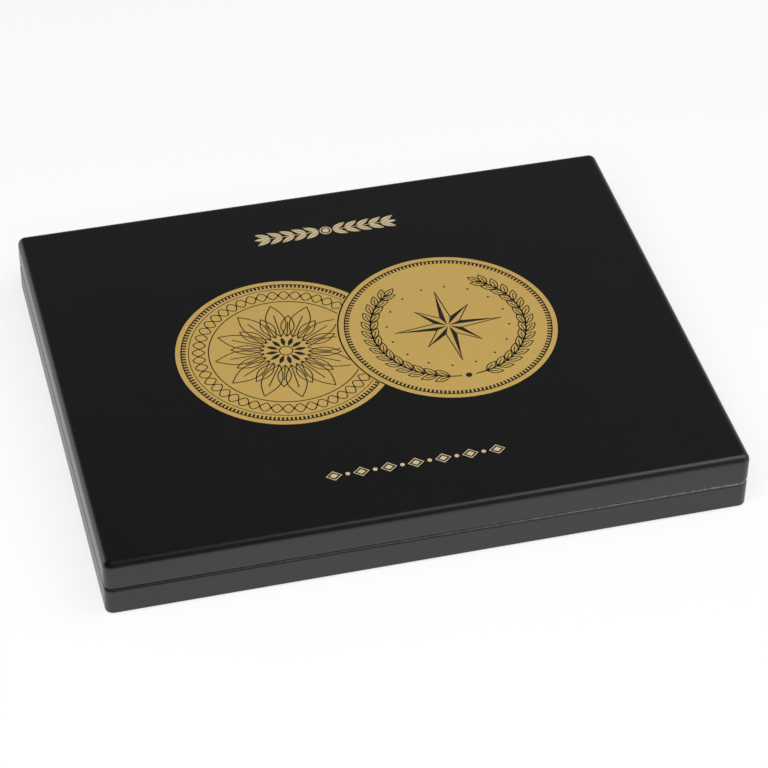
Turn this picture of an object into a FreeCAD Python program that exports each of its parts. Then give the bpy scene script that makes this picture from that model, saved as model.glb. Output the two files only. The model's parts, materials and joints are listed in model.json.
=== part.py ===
import FreeCAD, Part

import math
import os
import re

import Sketcher
from FreeCAD import Placement, Rotation, Vector

# A hinged presentation case for coins in round capsules. The origin is the centre of its
# underside, +X runs along the front to the right, +Y to the hinged rear and +Z up.

# Driving sizes: alias, value in millimetres (angles in degrees, shares as they are), meaning.
SIZES = (
    ("case_length", 305, "outside length of base and lid"),
    ("case_depth", 245, "outside depth of base and lid"),
    ("base_height", 14.2, "lacquered base, underside to lip"),
    ("lid_height", 15.8, "lid, lip to top"),
    ("corner_radius", 4, "upright outside corners"),
    ("top_round", 3.6, "round along the lid's upper edge"),
    ("foot_round", 0.4, "round along the base's lower edge"),
    ("base_lip_round", 1.7, "outer round of the base's lip"),
    ("lid_lip_round", 1.9, "outer round of the lid's lip"),
    ("inner_lip_round", 0.8, "inner round of both lips"),
    ("rail_width", 10, "wall thickness of base and lid"),
    ("board_thickness", 4, "lid top board and base board"),
    ("round_limit_share", 0.95, "largest share of its wall that a round may take"),
    ("felt_thickness", 0.8, "felt sheet under the base"),
    ("felt_inset", 4, "felt edge to base edge"),
    ("tray_gap", 0.4, "tray edge to rail"),
    ("tray_drop", 1.5, "tray top below the base's lip"),
    ("tray_lip_round", 1.5, "round along the tray's upper edge"),
    ("well_diameter", 40, "round well for one capsule"),
    ("well_depth", 6, "well below the tray top"),
    ("well_end_margin", 4.6, "bare tray at each end of the well grid"),
    ("well_side_margin", 4.1, "bare tray in front of and behind the well grid"),
    ("well_lip_round", 1.5, "round at a well's mouth"),
    ("lining_gap", 0.4, "satin edge to lid rail"),
    ("lining_corner", 4, "upright corners of the satin panel"),
    ("card_thickness", 1.5, "card that carries the lining"),
    ("wadding_thickness", 3, "wadding between card and satin"),
    ("wadding_round", 2.4, "soft edge of the wadding"),
    ("satin_thickness", 0.4, "satin cover"),
    ("hinge_end_distance", 57.5, "end of the case to the middle of a hinge"),
    ("hinge_length", 30, "leaf length along the rail"),
    ("leaf_reach", 7.5, "leaf on the rail, from the rear face inwards"),
    ("leaf_thickness", 1, "hinge leaf"),
    ("leaf_gap", 0.3, "between the two leaves when closed"),
    ("mortise_clearance", 0.15, "round a leaf in its mortise"),
    ("pin_standoff", 0.5, "hinge axis behind the rear face"),
    ("knuckle_radius", 1.9, "outside of the hinge barrel"),
    ("lid_knuckle_length", 10, "middle knuckle, which the lid leaf carries"),
    ("knuckle_gap", 0.2, "between neighbouring knuckles"),
    ("barrel_clearance", 0.3, "round the barrel in the rails and leaves"),
    ("pin_radius", 0.95, "hinge pin"),
    ("pin_clearance", 0.05, "running clearance of the pin in its knuckles"),
    ("pin_end_round", 0.4, "rounded pin ends"),
    ("stop_angle", 101, "opening at which the stop nib meets the base"),
    ("stop_thickness", 1, "stop nib on the lid knuckle"),
    ("screw_spacing", 18, "between the two screws of a leaf"),
    ("screw_setback", 4, "screw axis from the rear face"),
    ("screw_radius", 0.9, "screw shank"),
    ("screw_head_radius", 1.8, "countersunk head"),
    ("screw_length", 8, "head to tip"),
    ("screw_tip_length", 1.8, "tapered tip"),
    ("screw_clearance", 0.05, "round a screw in leaf and rail"),
    ("slot_width", 0.5, "screw driver slot"),
    ("slot_depth", 0.4, "screw driver slot"),
    ("magnet_end_distance", 82.5, "end of the case to the middle of a magnet"),
    ("magnet_radius", 4, "disc magnet"),
    ("magnet_thickness", 2, "disc magnet"),
    ("magnet_clearance", 0.05, "round a magnet in its socket"),
    ("magnet_setback", 0.2, "magnet face below the lip"),
    ("foil_thickness", 0.08, "gold foil on the lid"),
    ("roundel_radius", 53.4, "each foil roundel"),
    ("roundel_spacing", 81, "between the roundel centres"),
    ("roundel_rise", 2.9, "roundel centres behind the middle of the lid"),
    ("roundel_gap", 0.8, "bare line where the roundels overlap"),
    ("garland_rear_distance", 32.5, "rear face of the lid to the middle of the leaf garland"),
    ("garland_leaf_length", 8, "one leaf, tip to tip"),
    ("garland_leaf_bend", 7, "radius of a leaf's two edges"),
    ("garland_stem_gap", 0.4, "leaf roots off the garland's middle line"),
    ("garland_pitch", 6.6, "leaf spacing in the garland"),
    ("garland_tilt", 30, "lean of each leaf"),
    ("garland_boss_radius", 3, "disc in the middle of the garland"),
    ("beading_front_distance", 33.5, "front face of the lid to the middle of the lozenge row"),
    ("lozenge_length", 8.4, "one lozenge along the row"),
    ("lozenge_height", 6.8, "one lozenge across the row"),
    ("bead_radius", 1.1, "bead between two lozenges"),
    ("beading_pitch", 13, "lozenge spacing in the row"),
    ("overrun", 1, "how far a cutting tool passes the surface it opens"),
)
WELL_COLUMNS = 5
WELL_ROWS = 4
GARLAND_PAIRS_PER_SIDE = 5
LOZENGES = 7

# Two places closer than this count as the same when edges are picked, as a share of a size.
SAME_PLACE_SHARE = 1e-4

LEVEL_BASE = "felt_thickness"
LEVEL_TRAY = "(felt_thickness + board_thickness)"
LEVEL_LIP = "(felt_thickness + base_height)"
LEVEL_TOP = "(felt_thickness + base_height + lid_height)"
LEVEL_CEILING = "(felt_thickness + base_height + lid_height - board_thickness)"
PIN_SETBACK = "(case_depth / 2 + pin_standoff)"
LEAF_LEVEL = "(leaf_gap / 2 + leaf_thickness)"
BASE_KNUCKLE = "((hinge_length - lid_knuckle_length) / 2 - knuckle_gap)"
TRAY_LENGTH = "(case_length - 2 * rail_width - 2 * tray_gap)"
TRAY_DEPTH = "(case_depth - 2 * rail_width - 2 * tray_gap)"
WELL_PITCH_LENGTH = f"(({TRAY_LENGTH} - 2 * well_end_margin) / {WELL_COLUMNS})"
WELL_PITCH_DEPTH = f"(({TRAY_DEPTH} - 2 * well_side_margin) / {WELL_ROWS})"
HINGE_OFFSET = "(case_length / 2 - hinge_end_distance)"
MAGNET_OFFSET = "(case_length / 2 - magnet_end_distance)"

document = FreeCAD.newDocument("coin_case")
sheet = document.addObject("Spreadsheet::Sheet", "Sizes")
nodes = []


def fill_sheet():
    """One row for each driving size: its alias, its value and what it measures."""
    for row, (alias, value, meaning) in enumerate(SIZES, start=1):
        sheet.set(f"A{row}", alias)
        sheet.set(f"B{row}", str(value))
        sheet.setAlias(f"B{row}", alias)
        sheet.set(f"C{row}", meaning)
    document.recompute()


def cells(formula):
    """The formula with every size name pointed at its cell of the sheet."""
    aliases = {alias for alias, value, meaning in SIZES}
    return re.sub("[a-z_]+", lambda word: f"Sizes.{word[0]}" if word[0] in aliases else word[0], formula)


def number(formula):
    """The formula's value now."""
    return float(sheet.evalExpression(cells(formula)))


def bind(item, name, formula):
    """Tie one property of a document object to the sheet."""
    item.setExpression(name, cells(formula))


def place(item, across="0", back="0", up="0", turn=Rotation()):
    """Tie an object's place to the sheet and give it its fixed turn."""
    item.Placement = Placement(Vector(), turn)
    bind(item, "Placement.Base.x", across)
    bind(item, "Placement.Base.y", back)
    bind(item, "Placement.Base.z", up)


def keep(item, label):
    """Name a finished piece and put it on the list of pieces to write."""
    item.Label = label
    nodes.append(item)
    return item


# Sketches and features

def new_sketch(body, name, role="XY_Plane", level="0"):
    """An empty sketch on one of the body's own planes, lifted to a level along its normal."""
    sketch = body.newObject("Sketcher::SketchObject", f"{body.Name}_{name}")
    plane = next(item for item in body.Origin.OriginFeatures if item.Role == role)
    sketch.AttachmentSupport = [(plane, "")]
    sketch.MapMode = "FlatFace"
    bind(sketch, "AttachmentOffset.Base.z", level)
    return sketch


def dimension(sketch, constraint, formula):
    """Add one driving dimension to a sketch."""
    index = sketch.addConstraint(constraint)
    sketch.setExpression(f"Constraints[{index}]", cells(formula))


def pin_point(sketch, item, point, across, up):
    """Tie one point of a sketch to its two distances from the sketch's origin."""
    dimension(sketch, Sketcher.Constraint("DistanceX", -1, 1, item, point, number(across)), across)
    dimension(sketch, Sketcher.Constraint("DistanceY", -1, 1, item, point, number(up)), up)


def left_turning_arc(start, end, radius):
    """The arc, under half a circle, that bends left on its way from start to end."""
    chord = end - start
    rise = math.sqrt(radius ** 2 - chord.Length ** 2 / 4)
    middle = (start + end) / 2 + Vector(-chord.y, chord.x, 0).normalize() * rise
    angles = [math.atan2(point.y - middle.y, point.x - middle.x) for point in (start, end)]
    return Part.ArcOfCircle(Part.Circle(middle, Vector(0, 0, 1), radius), *angles)


def draw_outline(sketch, corners):
    """Close an anticlockwise outline. A corner is (across, up), and a third formula there is the
    radius of an arc that leads to it."""
    points = [Vector(number(corner[0]), number(corner[1]), 0) for corner in corners]
    first = sketch.GeometryCount
    for index, corner in enumerate(corners):
        start, end = points[index - 1], points[index]
        if len(corner) == 3:
            sketch.addGeometry(left_turning_arc(start, end, number(corner[2])))
        else:
            sketch.addGeometry(Part.LineSegment(start, end))
    for index, corner in enumerate(corners):
        item = first + index
        following = first + (index + 1) % len(corners)
        sketch.addConstraint(Sketcher.Constraint("Coincident", item, 2, following, 1))
        pin_point(sketch, item, 2, corner[0], corner[1])
        if len(corner) == 3:
            dimension(sketch, Sketcher.Constraint("Radius", item, number(corner[2])), corner[2])


def draw_circle(sketch, across, up, radius):
    """Add one circle."""
    middle = Vector(number(across), number(up), 0)
    item = sketch.addGeometry(Part.Circle(middle, Vector(0, 0, 1), number(radius)))
    pin_point(sketch, item, 3, across, up)
    dimension(sketch, Sketcher.Constraint("Radius", item, number(radius)), radius)


def draw_rectangle(sketch, left, right, low, high):
    """Add one rectangle from its four sides."""
    draw_outline(sketch, [(left, low), (right, low), (right, high), (left, high)])


def draw_rounded_rectangle(sketch, length, depth, radius):
    """Add a rectangle about the origin with round corners."""
    right, rear = f"({length}) / 2", f"({depth}) / 2"
    draw_outline(sketch, [
        (f"{right} - ({radius})", f"-({rear})"), (right, f"-({rear}) + ({radius})", radius),
        (right, f"{rear} - ({radius})"), (f"{right} - ({radius})", rear, radius),
        (f"-({right}) + ({radius})", rear), (f"-({right})", f"{rear} - ({radius})", radius),
        (f"-({right})", f"-({rear}) + ({radius})"), (f"-({right}) + ({radius})", f"-({rear})", radius),
    ])


def pad(body, sketch, height):
    """Raise a sketch to a solid."""
    feature = body.newObject("PartDesign::Pad", f"{sketch.Name}_pad")
    feature.Profile = sketch
    bind(feature, "Length", height)
    document.recompute()


def pocket(body, sketch, depth, along_normal=False):
    """Cut a sketch into the body, against the sketch's normal unless told otherwise."""
    before = body.Shape.Volume
    feature = body.newObject("PartDesign::Pocket", f"{sketch.Name}_pocket")
    feature.Profile = sketch
    feature.Reversed = along_normal
    bind(feature, "Length", depth)
    document.recompute()
    if body.Shape.Volume >= before:
        raise ValueError(f"{feature.Name} cuts nothing")


def round_edges(body, name, radius, chosen):
    """Round the edges of the body that the test chooses."""
    edges = body.Tip.Shape.Edges
    names = [f"Edge{index}" for index, edge in enumerate(edges, start=1) if chosen(edge)]
    base = body.Tip
    feature = body.newObject("PartDesign::Fillet", f"{body.Name}_{name}")
    feature.Base = (base, names)
    bind(feature, "Radius", radius)
    document.recompute()


def same(value, formula):
    """Whether a measured place is the one that the formula gives."""
    return abs(value - number(formula)) < SAME_PLACE_SHARE * number("board_thickness")


def lies_at(level):
    """A test for edges that lie flat at a level of their body."""
    return lambda edge: all(same(vertex.Z, level) for vertex in edge.Vertexes)


# Boards, rails and felt

def rounded_panel(name, length, depth, radius, height):
    """A flat body with round upright corners, standing on its own XY plane."""
    body = document.addObject("PartDesign::Body", name)
    sketch = new_sketch(body, "outline")
    draw_rounded_rectangle(sketch, length, depth, radius)
    pad(body, sketch, height)
    return body


def make_boards():
    """The lid's top board and the base board, as large as the case."""
    outline = ("case_length", "case_depth", "corner_radius", "board_thickness")
    limit = "min(corner_radius; board_thickness) * round_limit_share"
    top = rounded_panel("lid_top_board", *outline)
    round_edges(top, "top_round", f"min(top_round; {limit})", lies_at("board_thickness"))
    place(top, up=LEVEL_CEILING)
    keep(top, "lid_top_board")
    floor = rounded_panel("base_board", *outline)
    round_edges(floor, "foot_round", f"min(foot_round; {limit})", lies_at("0"))
    place(floor, up=LEVEL_BASE)
    keep(floor, "base_board")


def make_felt():
    """The felt sheet that the case stands on."""
    size = ("case_length - 2 * felt_inset", "case_depth - 2 * felt_inset")
    felt = rounded_panel("base_felt", *size, "corner_radius", "felt_thickness")
    place(felt)
    keep(felt, "base_felt")


def mitred_rail(name, run, height, lip, lip_round):
    """A rail whose outer face lies on its own XZ plane, with mitred ends that each carry half of
    an upright corner. Its lip, at the level given, is rounded on both sides."""
    body = document.addObject("PartDesign::Body", name)
    sketch = new_sketch(body, "outline")
    corner = "corner_radius * (1 - sin(45))"
    draw_outline(sketch, [
        (f"{run} / 2 - corner_radius", "0"),
        (f"{run} / 2 - {corner}", corner, "corner_radius"),
        (f"{run} / 2 - rail_width", "rail_width"),
        (f"-{run} / 2 + rail_width", "rail_width"),
        (f"-{run} / 2 + {corner}", corner),
        (f"-{run} / 2 + corner_radius", "0", "corner_radius"),
    ])
    pad(body, sketch, height)
    at_lip = lies_at(lip)
    limit = "corner_radius * round_limit_share"
    round_edges(body, "outer_lip", f"min({lip_round}; {limit})",
                lambda edge: at_lip(edge) and edge.BoundBox.YMax < number("corner_radius"))
    round_edges(body, "inner_lip", "inner_lip_round",
                lambda edge: at_lip(edge) and same(edge.BoundBox.YMin, "rail_width"))
    return body


def cut_magnet_sockets(rail, lip, downward):
    """Blind holes for the two disc magnets in a front rail's lip."""
    sketch = new_sketch(rail, "magnet_sockets", level=lip)
    for side in ("-", ""):
        draw_circle(sketch, f"{side}{MAGNET_OFFSET}", "rail_width / 2", "magnet_radius + magnet_clearance")
    pocket(rail, sketch, "magnet_setback + magnet_thickness", along_normal=not downward)


def cut_hinge_seats(rail, lip, downward):
    """Mortises, barrel notches and screw holes for the two hinges in a rear rail's lip."""
    half_seat = "(hinge_length / 2 + mortise_clearance)"
    mortises = new_sketch(rail, "mortises", level=lip)
    holes = new_sketch(rail, "screw_holes", level=lip)
    for side in ("-", ""):
        middle = f"{side}{HINGE_OFFSET}"
        draw_rectangle(mortises, f"{middle} - {half_seat}", f"{middle} + {half_seat}",
                       "-overrun", "leaf_reach + mortise_clearance")
        for end in ("-", "+"):
            draw_circle(holes, f"{middle} {end} screw_spacing / 2", "screw_setback",
                        "screw_radius + screw_clearance")
    pocket(rail, mortises, LEAF_LEVEL, along_normal=not downward)
    pocket(rail, holes, "leaf_gap / 2 + screw_length + screw_clearance", along_normal=not downward)
    for side, name in (("-", "notch_one"), ("", "notch_two")):
        notch = new_sketch(rail, name, "YZ_Plane", f"{side}{HINGE_OFFSET} + {half_seat}")
        draw_circle(notch, "-pin_standoff", lip, "knuckle_radius + barrel_clearance")
        pocket(rail, notch, f"2 * {half_seat}")


def make_rails():
    """Four mitred rails each for the base and the lid, with the seats of magnets and hinges."""
    frames = (
        ("base", "(base_height - board_thickness)", "(base_height - board_thickness)",
         "base_lip_round", LEVEL_TRAY),
        ("lid", "(lid_height - board_thickness)", "0", "lid_lip_round", LEVEL_LIP),
    )
    sides = (
        ("front", "case_length", "0", "-case_depth / 2", 0),
        ("right", "case_depth", "case_length / 2", "0", 90),
        ("rear", "case_length", "0", "case_depth / 2", 180),
        ("left", "case_depth", "-case_length / 2", "0", 270),
    )
    for part, height, lip, lip_round, level in frames:
        for side, run, across, back, turn in sides:
            rail = mitred_rail(f"{part}_{side}_rail", run, height, lip, lip_round)
            if side == "front":
                cut_magnet_sockets(rail, lip, downward=part == "base")
            if side == "rear":
                cut_hinge_seats(rail, lip, downward=part == "base")
            place(rail, across, back, level, Rotation(Vector(0, 0, 1), turn))
            keep(rail, f"{part}_{side}_rail")


# Inside

def make_tray():
    """The flocked tray: a block on the base board with a grid of round wells."""
    tray = document.addObject("PartDesign::Body", "coin_tray")
    outline = new_sketch(tray, "outline")
    height = "(base_height - board_thickness - tray_drop)"
    draw_rectangle(outline, f"-{TRAY_LENGTH} / 2", f"{TRAY_LENGTH} / 2",
                   f"-{TRAY_DEPTH} / 2", f"{TRAY_DEPTH} / 2")
    pad(tray, outline, height)
    round_edges(tray, "tray_lip", "tray_lip_round", lies_at(height))
    wells = new_sketch(tray, "wells", level=height)
    for column in range(WELL_COLUMNS):
        for row in range(WELL_ROWS):
            across = f"{column - (WELL_COLUMNS - 1) / 2} * {WELL_PITCH_LENGTH}"
            back = f"{row - (WELL_ROWS - 1) / 2} * {WELL_PITCH_DEPTH}"
            draw_circle(wells, across, back, "well_diameter / 2")
    pocket(tray, wells, "well_depth")
    at_top = lies_at(height)
    round_edges(tray, "well_lips", "min(well_lip_round; well_depth * round_limit_share)",
                lambda edge: at_top(edge) and edge.Curve.TypeId == "Part::GeomCircle")
    place(tray, up=LEVEL_TRAY)
    keep(tray, "coin_tray")


def make_lining():
    """The lid's padded lining, from the top board down: card, wadding and the satin over both."""
    length = "(case_length - 2 * rail_width - 2 * lining_gap)"
    depth = "(case_depth - 2 * rail_width - 2 * lining_gap)"
    inside = (f"{length} - 2 * satin_thickness", f"{depth} - 2 * satin_thickness",
              "lining_corner - satin_thickness")
    round_limit = "min(wadding_thickness; lining_corner - satin_thickness) * round_limit_share"
    soft_edge = f"min(wadding_round; {round_limit})"
    card = rounded_panel("lid_lining_card", *inside, "card_thickness")
    place(card, up=f"{LEVEL_CEILING} - card_thickness")
    keep(card, "lid_lining_card")
    wadding = rounded_panel("lid_lining_wadding", *inside, "wadding_thickness")
    round_edges(wadding, "soft_edge", soft_edge, lies_at("0"))
    place(wadding, up=f"{LEVEL_CEILING} - card_thickness - wadding_thickness")
    keep(wadding, "lid_lining_wadding")
    full = "(card_thickness + wadding_thickness + satin_thickness)"
    cover = rounded_panel("satin_block", length, depth, "lining_corner", full)
    round_edges(cover, "soft_edge", f"{soft_edge} + satin_thickness", lies_at("0"))
    place(cover, up=f"{LEVEL_CEILING} - {full}")
    filling = document.addObject("Part::Fuse", "satin_filling")
    filling.Base, filling.Tool = card, wadding
    satin = document.addObject("Part::Cut", "lid_lining_satin")
    satin.Base, satin.Tool = cover, filling
    keep(satin, "lid_lining_satin")


def make_magnets():
    """Two pairs of disc magnets that hold the lid shut."""
    levels = (("base", f"{LEVEL_LIP} - magnet_setback - magnet_thickness"),
              ("lid", f"{LEVEL_LIP} + magnet_setback"))
    for part, level in levels:
        for side, sign in (("left", "-"), ("right", "")):
            magnet = document.addObject("Part::Cylinder", f"{part}_{side}_magnet")
            bind(magnet, "Radius", "magnet_radius")
            bind(magnet, "Height", "magnet_thickness")
            place(magnet, f"{sign}{MAGNET_OFFSET}", "-case_depth / 2 + rail_width / 2", level)
            keep(magnet, f"{part}_{side}_magnet")


# Hinges

def block(name, length, depth, height, across, back, up):
    """A plain box with its lowest corner at the place given."""
    box = document.addObject("Part::Box", name)
    bind(box, "Length", length)
    bind(box, "Width", depth)
    bind(box, "Height", height)
    place(box, across, back, up)
    return box


def barrel(name, radius, length, across):
    """A cylinder along the hinge axis that starts at the place given."""
    cylinder = document.addObject("Part::Cylinder", name)
    bind(cylinder, "Radius", radius)
    bind(cylinder, "Height", length)
    place(cylinder, across, PIN_SETBACK, LEVEL_LIP, Rotation(Vector(0, 1, 0), 90))
    return cylinder


def screw_hole(name, across, level, turn):
    """A countersunk screw hole through a leaf, as one cutting tool."""
    cone = document.addObject("Part::Cone", f"{name}_countersink")
    head = "(screw_head_radius + screw_clearance)"
    shank = "(screw_radius + screw_clearance)"
    bind(cone, "Radius1", head)
    bind(cone, "Radius2", shank)
    bind(cone, "Height", "screw_head_radius - screw_radius")
    place(cone, across, "case_depth / 2 - screw_setback", level, turn)
    drill = document.addObject("Part::Cylinder", f"{name}_drill")
    bind(drill, "Radius", shank)
    bind(drill, "Height", "leaf_thickness + overrun")
    place(drill, across, "case_depth / 2 - screw_setback", level, turn)
    return [cone, drill]


def joined(name, items):
    """Several solids as one."""
    if len(items) == 1:
        return items[0]
    fuse = document.addObject("Part::MultiFuse", name)
    fuse.Shapes = items
    return fuse


def make_leaf(name, middle, part, own_knuckles, other_knuckles):
    """One hinge leaf with its knuckles, cleared round the other leaf's knuckles."""
    in_lid = part == "lid"
    underside = f"{LEVEL_LIP} + leaf_gap / 2" if in_lid else f"{LEVEL_LIP} - {LEAF_LEVEL}"
    face = f"{LEVEL_LIP} + leaf_gap / 2" if in_lid else f"{LEVEL_LIP} - leaf_gap / 2"
    into_rail = Rotation() if in_lid else Rotation(Vector(1, 0, 0), 180)
    plate = block(f"{name}_plate", "hinge_length", "leaf_reach + pin_standoff", "leaf_thickness",
                  f"{middle} - hinge_length / 2", "case_depth / 2 - leaf_reach", underside)
    clearances = [barrel(f"{name}_clearance_{index}", "knuckle_radius + barrel_clearance",
                         f"{length} + 2 * knuckle_gap", f"{middle} + {start} - knuckle_gap")
                  for index, (start, length) in enumerate(other_knuckles)]
    cleared = document.addObject("Part::Cut", f"{name}_cleared")
    cleared.Base, cleared.Tool = plate, joined(f"{name}_clearances", clearances)
    solids = [cleared]
    for index, (start, length) in enumerate(own_knuckles):
        solids.append(barrel(f"{name}_knuckle_{index}", "knuckle_radius", length, f"{middle} + {start}"))
    if in_lid:
        solids.append(block(f"{name}_stop", "lid_knuckle_length", "pin_standoff / cos(180 - stop_angle)",
                            "stop_thickness", f"{middle} - lid_knuckle_length / 2", PIN_SETBACK, LEVEL_LIP))
    tools = [barrel(f"{name}_bore", "pin_radius + pin_clearance", "hinge_length + 2 * overrun",
                    f"{middle} - hinge_length / 2 - overrun")]
    for end in ("-", "+"):
        hole = f"{name}_hole_{'near' if end == '-' else 'far'}"
        tools += screw_hole(hole, f"{middle} {end} screw_spacing / 2", face, into_rail)
    leaf = document.addObject("Part::Cut", name)
    leaf.Base = joined(f"{name}_solid", solids)
    leaf.Tool = joined(f"{name}_tools", tools)
    keep(leaf, name)


def make_screw(name, across, level, turn):
    """One countersunk wood screw, head at its own origin, point downwards."""
    screw = document.addObject("PartDesign::Body", name)
    profile = new_sketch(screw, "profile", "XZ_Plane")
    shoulder = "-(screw_head_radius - screw_radius)"
    draw_outline(profile, [
        ("0", "0"), ("0", "-screw_length"), ("screw_radius", "-screw_length + screw_tip_length"),
        ("screw_radius", shoulder), ("screw_head_radius", "0"),
    ])
    turned = screw.newObject("PartDesign::Revolution", f"{name}_turned")
    turned.Profile = profile
    turned.ReferenceAxis = (profile, ["V_Axis"])
    document.recompute()
    slot = new_sketch(screw, "slot")
    draw_rectangle(slot, "-slot_width / 2", "slot_width / 2", "-screw_head_radius", "screw_head_radius")
    pocket(screw, slot, "slot_depth")
    place(screw, across, "case_depth / 2 - screw_setback", level, turn)
    return screw


def make_screws(name, middle, part):
    """The two screws of one leaf, as a group."""
    in_lid = part == "lid"
    level = f"{LEVEL_LIP} + leaf_gap / 2" if in_lid else f"{LEVEL_LIP} - leaf_gap / 2"
    turn = Rotation(Vector(1, 0, 0), 180) if in_lid else Rotation()
    group = document.addObject("Part::Compound", name)
    group.Links = [make_screw(f"{name}_{index}", f"{middle} {end} screw_spacing / 2", level, turn)
                   for index, end in enumerate(("-", "+"))]
    keep(group, name)


def make_pin(name, middle):
    """The hinge pin, with rounded ends."""
    pin = document.addObject("PartDesign::Body", name)
    section = new_sketch(pin, "section", "YZ_Plane")
    draw_circle(section, "0", "0", "pin_radius")
    pad(pin, section, "hinge_length")
    round_edges(pin, "ends", "min(pin_end_round; pin_radius * round_limit_share)",
                lambda edge: edge.Curve.TypeId == "Part::GeomCircle")
    place(pin, f"{middle} - hinge_length / 2", PIN_SETBACK, LEVEL_LIP)
    keep(pin, name)


def make_hinges():
    """Two butt hinges: the base leaf has the outer knuckles, the lid leaf the middle one."""
    outer = [("(-hinge_length / 2)", BASE_KNUCKLE), (f"(hinge_length / 2 - {BASE_KNUCKLE})", BASE_KNUCKLE)]
    inner = [("(-lid_knuckle_length / 2)", "lid_knuckle_length")]
    for side, sign in (("left", "-"), ("right", "")):
        middle = f"{sign}{HINGE_OFFSET}"
        make_leaf(f"{side}_hinge_base_leaf", middle, "base", outer, inner)
        make_leaf(f"{side}_hinge_lid_leaf", middle, "lid", inner, outer)
        make_pin(f"{side}_hinge_pin", middle)
        make_screws(f"{side}_hinge_base_screws", middle, "base")
        make_screws(f"{side}_hinge_lid_screws", middle, "lid")


# Gold foil on the lid

def make_roundels():
    """Two foil discs; the right one lies in front, with a bare line round it."""
    discs = {}
    for name, sign, radius in (("left", "-", "roundel_radius"), ("right", "", "roundel_radius"),
                               ("edge", "", "roundel_radius + roundel_gap")):
        disc = document.addObject("Part::Cylinder", f"foil_disc_{name}")
        bind(disc, "Radius", radius)
        bind(disc, "Height", "foil_thickness")
        place(disc, f"{sign}roundel_spacing / 2", "roundel_rise", LEVEL_TOP)
        discs[name] = disc
    behind = document.addObject("Part::Cut", "gold_roundel_left")
    behind.Base, behind.Tool = discs["left"], discs["edge"]
    keep(behind, "gold_roundel_left")
    keep(discs["right"], "gold_roundel_right")


def make_garland():
    """Pairs of foil leaves that point outwards from a small disc."""
    garland = document.addObject("PartDesign::Body", "gold_garland")
    sketch = new_sketch(garland, "leaves")
    draw_circle(sketch, "0", "0", "garland_boss_radius")
    for pair in range(GARLAND_PAIRS_PER_SIDE):
        root = f"(garland_boss_radius + garland_stem_gap + {pair} * garland_pitch)"
        tip = f"({root} + garland_leaf_length * cos(garland_tilt))"
        rise = "(garland_stem_gap + garland_leaf_length * sin(garland_tilt))"
        for side in ("", "-"):
            for lean in ("", "-"):
                draw_outline(sketch, [
                    (f"{side}{root}", f"{lean}garland_stem_gap", "garland_leaf_bend"),
                    (f"{side}{tip}", f"{lean}{rise}", "garland_leaf_bend"),
                ])
    pad(garland, sketch, "foil_thickness")
    place(garland, back="case_depth / 2 - garland_rear_distance", up=LEVEL_TOP)
    keep(garland, "gold_garland")


def make_beading():
    """A row of foil lozenges with a bead between each two."""
    beading = document.addObject("PartDesign::Body", "gold_beading")
    sketch = new_sketch(beading, "row")
    for index in range(LOZENGES):
        middle = f"{index - (LOZENGES - 1) / 2} * beading_pitch"
        draw_outline(sketch, [
            (middle, "-lozenge_height / 2"), (f"{middle} + lozenge_length / 2", "0"),
            (middle, "lozenge_height / 2"), (f"{middle} - lozenge_length / 2", "0"),
        ])
        if index:
            draw_circle(sketch, f"{middle} - beading_pitch / 2", "0", "bead_radius")
    pad(beading, sketch, "foil_thickness")
    place(beading, back="-case_depth / 2 + beading_front_distance", up=LEVEL_TOP)
    keep(beading, "gold_beading")


def check_document():
    """Stop if any object failed, or any piece is missing or not sound."""
    document.recompute()
    for item in document.Objects:
        if "Invalid" in item.State or "Error" in item.State:
            raise ValueError(f"{item.Name} failed: {item.State}")
    for item in nodes:
        if item.Shape.isNull() or not item.Shape.isValid():
            raise ValueError(f"{item.Label} has no sound shape")


def write_parts():
    """One STEP file for each piece, under its own name."""
    os.makedirs("parts", exist_ok=True)
    for item in nodes:
        item.Shape.exportStep(f"parts/{item.Label}.step")
    print(f"{len(nodes)} pieces written")


fill_sheet()
make_boards()
make_felt()
make_rails()
make_tray()
make_lining()
make_magnets()
make_hinges()
make_roundels()
make_garland()
make_beading()
check_document()
write_parts()
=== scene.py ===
import json
import math

import bmesh
import bpy
from bpy.props import FloatProperty, FloatVectorProperty, IntProperty, PointerProperty
from mathutils import Matrix, Vector


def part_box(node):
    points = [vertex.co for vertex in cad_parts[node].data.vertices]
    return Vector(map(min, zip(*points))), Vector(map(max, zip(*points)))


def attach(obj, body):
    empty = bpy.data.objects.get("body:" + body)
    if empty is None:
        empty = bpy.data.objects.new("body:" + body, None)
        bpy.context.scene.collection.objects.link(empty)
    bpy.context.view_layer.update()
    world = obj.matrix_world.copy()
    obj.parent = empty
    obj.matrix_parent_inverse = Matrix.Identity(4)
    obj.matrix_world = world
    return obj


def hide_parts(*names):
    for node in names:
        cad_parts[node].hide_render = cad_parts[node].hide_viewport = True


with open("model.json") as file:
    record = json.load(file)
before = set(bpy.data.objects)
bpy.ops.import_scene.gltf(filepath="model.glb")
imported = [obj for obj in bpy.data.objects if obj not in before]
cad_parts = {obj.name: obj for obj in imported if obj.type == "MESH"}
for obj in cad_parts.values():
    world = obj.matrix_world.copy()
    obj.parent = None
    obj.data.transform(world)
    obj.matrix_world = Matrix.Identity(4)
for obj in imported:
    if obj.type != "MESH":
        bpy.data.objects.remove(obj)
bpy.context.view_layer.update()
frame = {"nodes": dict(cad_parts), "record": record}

bl_info = {
    "name": "Coin case",
    "version": (1, 0, 0),
    "blender": (4, 5, 0),
    "location": "View3D > Sidebar > Coin case",
    "description": "Dresses the packed coin case with fine pieces, finishes and a photo stage",
    "category": "Object",
}

SIDES = ("left", "right")

# Steps and tolerances of the meshes
ARC_STEPS = 8
CUTTER_STEPS = 64
ROLL_STEPS = 3
MERGE_DISTANCE = 1e-6
SMOOTH_ANGLE = math.radians(32)

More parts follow.
